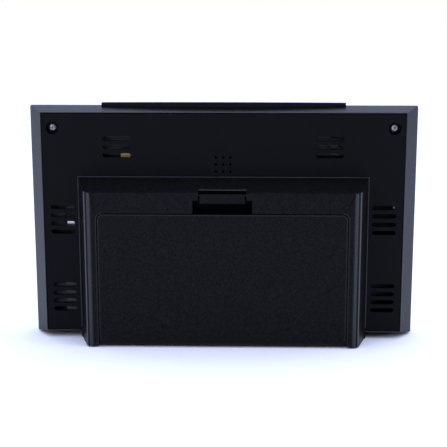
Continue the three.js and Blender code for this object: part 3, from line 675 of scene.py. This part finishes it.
def new_tree(name, sizes):
    """A Geometry Nodes tree that starts from points, with a finish and named sizes."""
    tree = bpy.data.node_groups.new(name, "GeometryNodeTree")
    socket_in(tree, "Places", "NodeSocketGeometry")
    socket_in(tree, "Finish", "NodeSocketMaterial")
    for size, value in sizes.items():
        socket_in(tree, size, "NodeSocketFloat", value)
    tree.interface.new_socket(name="Pieces", in_out="OUTPUT", socket_type="NodeSocketGeometry")
    return tree, tree.nodes.new("NodeGroupInput").outputs


def close_tree(tree, asked, geometry):
    """Ends a tree: the instances made real and given their finish."""
    real = add(tree, "GeometryNodeRealizeInstances", {0: geometry}).outputs[0]
    done = add(
        tree, "GeometryNodeSetMaterial", {"Geometry": real, "Material": asked["Finish"]}
    ).outputs[0]
    add(tree, "NodeGroupOutput", {0: done})


def grown(name, tree, points, finish, body, sizes, keeps_sharp=38):
    """Runs a tree on upright millimetre points and stands the result up as one piece."""
    start = bpy.data.meshes.new(name)
    start.from_pydata(points, [(i, i + 1) for i in range(len(points) - 1)], [])
    holder = bpy.data.objects.new(name, start)
    scene.collection.objects.link(holder)
    step = holder.modifiers.new("grow", "NODES")
    step.node_group = tree
    given = dict(sizes, Finish=finish)
    for item in tree.interface.items_tree:
        if item.in_out == "INPUT" and item.name in given:
            step[item.identifier] = given[item.name]
    reached = bpy.context.evaluated_depsgraph_get()
    mesh = bpy.data.meshes.new_from_object(holder.evaluated_get(reached))
    bpy.data.objects.remove(holder)
    shape = bmesh.new()
    shape.from_mesh(mesh)
    bmesh.ops.remove_doubles(shape, verts=shape.verts, dist=0.0005)
    bmesh.ops.recalc_face_normals(shape, faces=shape.faces)
    return moulding(name, shape, [finish], body, keeps_sharp)


bead_y = 0.05
bead_low = 6
bead_tree, asked = new_tree("parting_bead", {"Bead Radius": 0.3})
bead_path = add(bead_tree, "GeometryNodeMeshToCurve", {0: asked["Places"]}).outputs[0]
bead_round = add(
    bead_tree,
    "GeometryNodeCurvePrimitiveCircle",
    {"Resolution": 10, "Radius": asked["Bead Radius"]},
).outputs[0]
bead_tube = add(
    bead_tree,
    "GeometryNodeCurveToMesh",
    {"Curve": bead_path, "Profile Curve": bead_round, "Fill Caps": True},
).outputs[0]
close_tree(bead_tree, asked, bead_tube)
# The bead takes the lighter, glossier black: a painted highlight line.
bead = grown(
    "box_bead",
    bead_tree,
    [
        (-box_base, bead_y, bead_low),
        (-box_base, bead_y, box_top),
        (box_base, bead_y, box_top),
        (box_base, bead_y, bead_low),
    ],
    painted_highlight_black,
    "case",
    {"Bead Radius": 0.45},
)


# ---------------------------------------------------------------- contacts, leads and cells
# Nickel-plated springs and plates clip into the bay's ends; two leads run to the terminal block.
# Four size C cells lie in two rows, each in a printed plastic sleeve with bare steel ends.

nickel = plain_finish(
    "nickel", (0.6, 0.58, 0.53), (0.7, 0.68, 0.62), 0.25, 800, metal=1.0, stretch=(1, 5, 1)
)
lead_red = plain_finish("lead_red", (0.42, 0.012, 0.01), (0.5, 0.02, 0.015), 0.4, 900)
lead_black = plain_finish("lead_black", (0.012, 0.012, 0.012), (0.02, 0.02, 0.02), 0.4, 900)
dress(nickel, "contact_link", "contact_minus", "contact_plus")

spring_tree, asked = new_tree(
    "cone_spring",
    {"Wide Radius": 5.7, "Narrow Radius": 2.4, "Height": 4.2, "Wire Radius": 0.38, "Turn": 90.0},
)
wind = add(
    spring_tree,
    "GeometryNodeCurveSpiral",
    {
        "Resolution": 30,
        "Rotations": 3.5,
        "Start Radius": asked["Wide Radius"],
        "End Radius": asked["Narrow Radius"],
        "Height": asked["Height"],
    },
).outputs[0]
wire = add(
    spring_tree,
    "GeometryNodeCurvePrimitiveCircle",
    {"Resolution": 8, "Radius": asked["Wire Radius"]},
).outputs[0]
sprung = add(
    spring_tree,
    "GeometryNodeCurveToMesh",
    {"Curve": wind, "Profile Curve": wire, "Fill Caps": True},
).outputs[0]
facing = add(
    spring_tree,
    "ShaderNodeCombineXYZ",
    {1: add(spring_tree, "ShaderNodeMath", {0: asked["Turn"]}, operation="RADIANS").outputs[0]},
).outputs[0]
springs_set = add(
    spring_tree,
    "GeometryNodeInstanceOnPoints",
    {"Points": asked["Places"], "Instance": sprung, "Rotation": facing},
).outputs[0]
close_tree(spring_tree, asked, springs_set)
end_play = 0.4
for name in ("contact_spring_1", "contact_spring_2"):
    spots = [draw @ v.co for v in nodes[name].data.vertices]
    low = Vector([min(p[i] for p in spots) for i in range(3)])
    high = Vector([max(p[i] for p in spots) for i in range(3)])
    middle = (low + high) / 2
    on_right = middle.x < 0
    foot = low.x + end_play if on_right else high.x - end_play
    spring = grown(
        name.replace("contact_spring", "coil_spring"),
        spring_tree,
        [(foot, middle.y, middle.z)],
        nickel,
        "case",
        {"Height": high.x - low.x - 2 * end_play, "Turn": 90.0 if on_right else -90.0},
        keeps_sharp=60,
    )
    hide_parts(name)
dress(lead_red, "battery_lead_red")
dress(lead_black, "battery_lead_black")


def cell_finish(name, plus_low):
    """A printed sleeve, paler at the plus end, with bare steel end faces."""
    finish, tree, shader, place = new_finish(name)
    along = add(tree, "ShaderNodeSeparateXYZ", {0: place}).outputs["X"]
    share = add(
        tree,
        "ShaderNodeMath",
        {0: add(tree, "ShaderNodeMath", {0: along, 1: 20.0}, operation="MULTIPLY").outputs[0]},
        operation="FRACT",
    ).outputs[0]
    pale_end, dark_start = (0.30, 0.31) if plus_low else (0.70, 0.69)
    ring_low, ring_high = (0.305, 0.32) if plus_low else (0.68, 0.695)
    paler = spread(tree, share, pale_end, dark_start, 1.0, 0.0)
    ring = within(tree, share, ring_low, ring_high, 0.002)
    wear = add(
        tree, "ShaderNodeTexNoise", {"Vector": place, "Scale": 420.0, "Detail": 5.0}
    ).outputs["Fac"]
    dark = add(
        tree,
        "ShaderNodeMix",
        {0: wear, 6: (0.012, 0.045, 0.075, 1), 7: (0.018, 0.060, 0.095, 1)},
        data_type="RGBA",
    ).outputs[2]
    print_one = add(
        tree, "ShaderNodeMix", {0: paler, 6: dark, 7: (0.30, 0.33, 0.36, 1)}, data_type="RGBA"
    ).outputs[2]
    print_two = add(
        tree, "ShaderNodeMix", {0: ring, 6: print_one, 7: (0.55, 0.55, 0.55, 1)}, data_type="RGBA"
    ).outputs[2]
    facing = add(
        tree,
        "ShaderNodeSeparateXYZ",
        {0: add(tree, "ShaderNodeNewGeometry").outputs["Normal"]},
    ).outputs["X"]
    end_face = spread(
        tree,
        add(tree, "ShaderNodeMath", {0: facing}, operation="ABSOLUTE").outputs[0],
        0.6,
        0.75,
        0.0,
        1.0,
    )
    tone = add(
        tree, "ShaderNodeMix", {0: end_face, 6: print_two, 7: (0.6, 0.6, 0.58, 1)}, data_type="RGBA"
    ).outputs[2]
    tree.links.new(tone, shader.inputs["Base Color"])
    tree.links.new(end_face, shader.inputs["Metallic"])
    tree.links.new(spread(tree, wear, 0.3, 0.7, 0.22, 0.34), shader.inputs["Roughness"])
    tree.links.new(
        add(tree, "ShaderNodeBump", {"Height": wear, "Strength": 0.2, "Distance": 0.00003}).outputs[
            "Normal"
        ],
        shader.inputs["Normal"],
    )
    return finish


dress(cell_finish("cell_sleeve_low", True), "battery_cell_1", "battery_cell_2")
dress(cell_finish("cell_sleeve_high", False), "battery_cell_3", "battery_cell_4")


# ---------------------------------------------------------------- battery door and latch
# The door turns on two pins in its rolled lower edge. A sprung thumb tab on its top edge hooks
# behind the box; the fingertip goes in the recess under the tab.

roll_top = 10
tab_back = box_rear - 2.3
tab_low = 78.4

panel = traced("battery_door")
# The door's edges and the faces in its gap take the dull near-black: painted shade.
paint(panel, 1, in_door_gap)
soften(panel, 0.2, at_rear, finish=1)
# A shinier band along the door's edges above its roll: a painted highlight line.
sheen_band_edge(panel, 0.6, 2, lambda p: p.z > roll_top)
door = moulding("door_panel", panel, [grained_black, painted_shade_black, sheen_band_black], "door")
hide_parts("battery_door")

catch = traced("door_latch")
# The faces behind and under the tab take the dull near-black: painted shade.
paint(catch, 1, lambda p, facing: p.y < tab_back or p.z < tab_low + 0.25)
# The tab's rounded edges take the lighter, glossier black: painted highlights.
soften(catch, 0.55, lambda p: p.y > tab_back and p.z > tab_low, finish=2)
latch = moulding("thumb_catch", catch, [grained_black, painted_shade_black, painted_highlight_black], "latch")
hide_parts("door_latch")


# ---------------------------------------------------------------- screws
# Zinc-plated pan-head steel screws with a cross recess hold the cover; shorter ones hold the
# parts inside. Each head is turned its own way, as a driver leaves it.

head_height = 1.4
thread_pitch = 0.9
screw_tree, asked = new_tree(
    "pan_head_screw",
    {
        "Head Radius": 2.0,
        "Head Height": head_height,
        "Shank Radius": 1.1,
        "Length": 8.0,
        "Recess Width": 0.5,
        "Recess Span": 2.4,
        "Turn": -90.0,
    },
)
head = add(
    screw_tree,
    "GeometryNodeMeshCylinder",
    {
        "Vertices": 28,
        "Side Segments": 3,
        "Fill Segments": 5,
        "Radius": asked["Head Radius"],
        "Depth": asked["Head Height"],
    },
).outputs["Mesh"]
spot = add(screw_tree, "GeometryNodeInputPosition").outputs[0]
sideways = add(
    screw_tree, "ShaderNodeVectorMath", {0: spot, 1: (1, 1, 0)}, operation="MULTIPLY"
).outputs[0]
from_axis = add(
    screw_tree, "ShaderNodeVectorMath", {0: sideways}, operation="LENGTH"
).outputs["Value"]
share = add(
    screw_tree, "ShaderNodeMath", {0: from_axis, 1: asked["Head Radius"]}, operation="DIVIDE"
).outputs[0]
falloff = add(screw_tree, "ShaderNodeMath", {0: share, 1: 3.0}, operation="POWER").outputs[0]
full_drop = add(
    screw_tree, "ShaderNodeMath", {0: falloff, 1: asked["Head Height"]}, operation="MULTIPLY"
).outputs[0]
drop = add(screw_tree, "ShaderNodeMath", {0: full_drop, 1: -0.45}, operation="MULTIPLY").outputs[0]
height = add(screw_tree, "ShaderNodeSeparateXYZ", {0: spot}).outputs["Z"]
upper = add(
    screw_tree, "FunctionNodeCompare", {0: height, 1: 0.05}, operation="GREATER_THAN"
).outputs[0]
domed = add(
    screw_tree,
    "GeometryNodeSetPosition",
    {
        "Geometry": head,
        "Selection": upper,
        "Offset": add(screw_tree, "ShaderNodeCombineXYZ", {2: drop}).outputs[0],
    },
).outputs[0]
blade_size = add(
    screw_tree,
    "ShaderNodeCombineXYZ",
    {0: asked["Recess Span"], 1: asked["Recess Width"], 2: asked["Head Height"]},
).outputs[0]
half_head = add(
    screw_tree, "ShaderNodeMath", {0: asked["Head Height"], 1: 0.5}, operation="MULTIPLY"
).outputs[0]
rise = add(screw_tree, "ShaderNodeCombineXYZ", {2: half_head}).outputs[0]
blades = []
for turned in (0.0, math.pi / 2):
    blade = add(screw_tree, "GeometryNodeMeshCube", {"Size": blade_size}).outputs["Mesh"]
    blades.append(
        add(
            screw_tree,
            "GeometryNodeTransform",
            {"Geometry": blade, "Translation": rise, "Rotation": (0.0, 0.0, turned)},
        ).outputs[0]
    )
carve = add(screw_tree, "GeometryNodeMeshBoolean", {"Mesh 1": domed}, operation="DIFFERENCE")
for blade in blades:
    screw_tree.links.new(blade, carve.inputs["Mesh 2"])
thread = add(
    screw_tree,
    "GeometryNodeMeshCylinder",
    {
        "Vertices": 14,
        "Side Segments": 30,
        "Radius": asked["Shank Radius"],
        "Depth": asked["Length"],
    },
).outputs["Mesh"]
along = add(
    screw_tree, "ShaderNodeMath", {0: height, 1: 2 * math.pi / thread_pitch}, operation="MULTIPLY"
).outputs[0]
apart = add(screw_tree, "ShaderNodeSeparateXYZ", {0: spot})
round_it = add(
    screw_tree,
    "ShaderNodeMath",
    {0: apart.outputs["Y"], 1: apart.outputs["X"]},
    operation="ARCTAN2",
).outputs[0]
wound = add(screw_tree, "ShaderNodeMath", {0: along, 1: round_it}, operation="ADD").outputs[0]
helix = add(screw_tree, "ShaderNodeMath", {0: wound}, operation="SINE").outputs[0]
swell = add(
    screw_tree, "ShaderNodeMath", {0: helix, 1: 0.08, 2: -0.08}, operation="MULTIPLY_ADD"
).outputs[0]
outward = add(
    screw_tree, "ShaderNodeVectorMath", {0: sideways, "Scale": swell}, operation="SCALE"
).outputs[0]
threaded = add(
    screw_tree, "GeometryNodeSetPosition", {"Geometry": thread, "Offset": outward}
).outputs[0]
whole_length = add(
    screw_tree, "ShaderNodeMath", {0: asked["Length"], 1: asked["Head Height"]}, operation="ADD"
).outputs[0]
fall = add(
    screw_tree, "ShaderNodeMath", {0: whole_length, 1: -0.5}, operation="MULTIPLY"
).outputs[0]
lowered = add(
    screw_tree,
    "GeometryNodeTransform",
    {
        "Geometry": threaded,
        "Translation": add(screw_tree, "ShaderNodeCombineXYZ", {2: fall}).outputs[0],
    },
).outputs[0]
whole = add(screw_tree, "GeometryNodeJoinGeometry")
screw_tree.links.new(carve.outputs["Mesh"], whole.inputs[0])
screw_tree.links.new(lowered, whole.inputs[0])
tip = add(screw_tree, "ShaderNodeMath", {0: asked["Turn"]}, operation="RADIANS").outputs[0]
laid = add(
    screw_tree,
    "GeometryNodeTransform",
    {
        "Geometry": whole.outputs[0],
        "Rotation": add(screw_tree, "ShaderNodeCombineXYZ", {0: tip}).outputs[0],
    },
).outputs[0]
driven = add(
    screw_tree,
    "FunctionNodeRandomValue",
    {"Min": (0.0, 0.2, 0.0), "Max": (0.0, 1.4, 0.0), "Seed": 7},
    data_type="FLOAT_VECTOR",
).outputs[0]
placed = add(
    screw_tree,
    "GeometryNodeInstanceOnPoints",
    {"Points": asked["Places"], "Instance": laid, "Rotation": driven},
).outputs[0]
close_tree(screw_tree, asked, placed)

screw_zinc = plain_finish(
    "screw_zinc", (0.20, 0.20, 0.205), (0.34, 0.34, 0.345), 0.34, 1400, bump=0.03, metal=1.0
)


def screw_size(name):
    """Middle, ends and head side of a packed screw, upright and in millimetres."""
    spots = [draw @ v.co for v in nodes[name].data.vertices]
    low, high = min(p.y for p in spots), max(p.y for p in spots)
    x = sum(p.x for p in spots) / len(spots)
    z = (min(p.z for p in spots) + max(p.z for p in spots)) / 2
    wide = [p.y for p in spots if math.hypot(p.x - x, p.z - z) > 1.8]
    return x, z, low, high, sum(wide) / len(wide) > (low + high) / 2


groups = {}
for name in sorted(n for n in nodes if "screw" in n):
    x, z, low, high, rearward = screw_size(name)
    family = "cover_screws" if name.startswith("cover") else "inner_screws"
    key = (family, round(high - low, 1), rearward)
    groups.setdefault(key, []).append((name, x, z, low, high))
head_middle = head_height / 2
for (family, long, rearward), members in groups.items():
    points = [
        (x, high - head_middle if rearward else low + head_middle, z)
        for name, x, z, low, high in members
    ]
    piece = grown(
        f"{family}_{len(members)}_{long:.0f}",
        screw_tree,
        points,
        screw_zinc,
        "case",
        {"Length": long - head_height, "Turn": -90.0 if rearward else 90.0},
    )
    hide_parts(*[member[0] for member in members])


# ---------------------------------------------------------------- feet
# Four soft pads, moulded in black rubber, are pressed into pockets: two under the front of the
# case and two under the battery box.

rubber = plain_finish("rubber", (0.02, 0.02, 0.02), (0.035, 0.035, 0.034), 0.8, 1500, bump=0.08)
dress(rubber, *[name for name in nodes if name.startswith("foot_")])


# ---------------------------------------------------------------- table, light and camera
# A plain pale table, a hair below the feet, in a room that is bright overhead and beyond the
# frame and dark behind the camera. Soft light comes from above and from both sides.

table_half = 4.0
table_drop = 0.00005
table_top = bmesh.new()
bmesh.ops.create_grid(table_top, x_segments=8, y_segments=8, size=table_half)
table_mesh = bpy.data.meshes.new("table_top")
table_top.to_mesh(table_mesh)
table_top.free()
pale = plain_finish("pale_table", (0.88, 0.88, 0.88), (0.9, 0.9, 0.9), 0.9, 60, shine=0.1)
table_mesh.materials.append(pale)
table = bpy.data.objects.new("table_top", table_mesh)
scene.collection.objects.link(table)
table.location.z = -table_drop

room_dark = (0.03, 0.03, 0.034)
room_bright = (1.1, 1.22, 1.72)
world = bpy.data.worlds.new("room")
scene.world = world
world.use_nodes = True
sky = world.node_tree
backdrop = sky.nodes["Background"]
way = add(sky, "ShaderNodeTexCoord").outputs["Generated"]
ahead = add(sky, "ShaderNodeSeparateXYZ", {0: way}).outputs["Y"]
overhead = add(sky, "ShaderNodeSeparateXYZ", {0: way}).outputs["Z"]
bright = add(
    sky,
    "ShaderNodeMath",
    {
        0: spread(sky, ahead, -0.25, 0.45, 1.0, 0.0),
        1: spread(sky, overhead, 0.2, 0.6, 0.0, 1.15),
    },
    operation="MAXIMUM",
).outputs[0]
room_light = add(
    sky,
    "ShaderNodeMix",
    {0: bright, 6: (*room_dark, 1), 7: (*room_bright, 1)},
    data_type="RGBA",
    clamp_factor=False,
).outputs[2]
seen = add(sky, "ShaderNodeLightPath").outputs["Is Camera Ray"]
shown = add(
    sky, "ShaderNodeMix", {0: seen, 6: room_light, 7: (1, 1, 1, 1)}, data_type="RGBA"
).outputs[2]
sky.links.new(shown, backdrop.inputs["Color"])
backdrop.inputs["Strength"].default_value = 1.0


def softbox(name, place, aim, size, power, colour):
    """A wide, soft lamp that faces a point."""
    lamp = bpy.data.lights.new(name, "AREA")
    lamp.shape = "RECTANGLE"
    lamp.size, lamp.size_y = size
    lamp.energy = power
    lamp.color = colour
    holder = bpy.data.objects.new(name, lamp)
    scene.collection.objects.link(holder)
    holder.location = place
    holder.rotation_euler = (Vector(aim) - Vector(place)).to_track_quat("-Z", "Y").to_euler()


cool = (0.92, 0.95, 1.12)
softbox("top_light", (0, -0.1, 1.6), (0, 0, 0), (2.4, 1.4), 3, cool)
softbox("left_light", (0.42, 0.62, 0.34), (0, 0.02, 0.06), (0.4, 0.4), 1.3, cool)
softbox("right_light", (-0.75, 0.30, 0.40), (0, 0.04, 0.06), (0.5, 0.5), 2.2, cool)

lens = bpy.data.cameras.new("camera")
lens.lens = 101.53
lens.sensor_width = 36
camera = bpy.data.objects.new("camera", lens)
scene.collection.objects.link(camera)
camera.location = (-0.01554, 0.65278, 0.18952)
target = Vector((-0.00015, 0, 0.06303))
camera.rotation_euler = (target - camera.location).to_track_quat("-Z", "Y").to_euler()
scene.camera = camera
scene.view_settings.view_transform = "Standard"
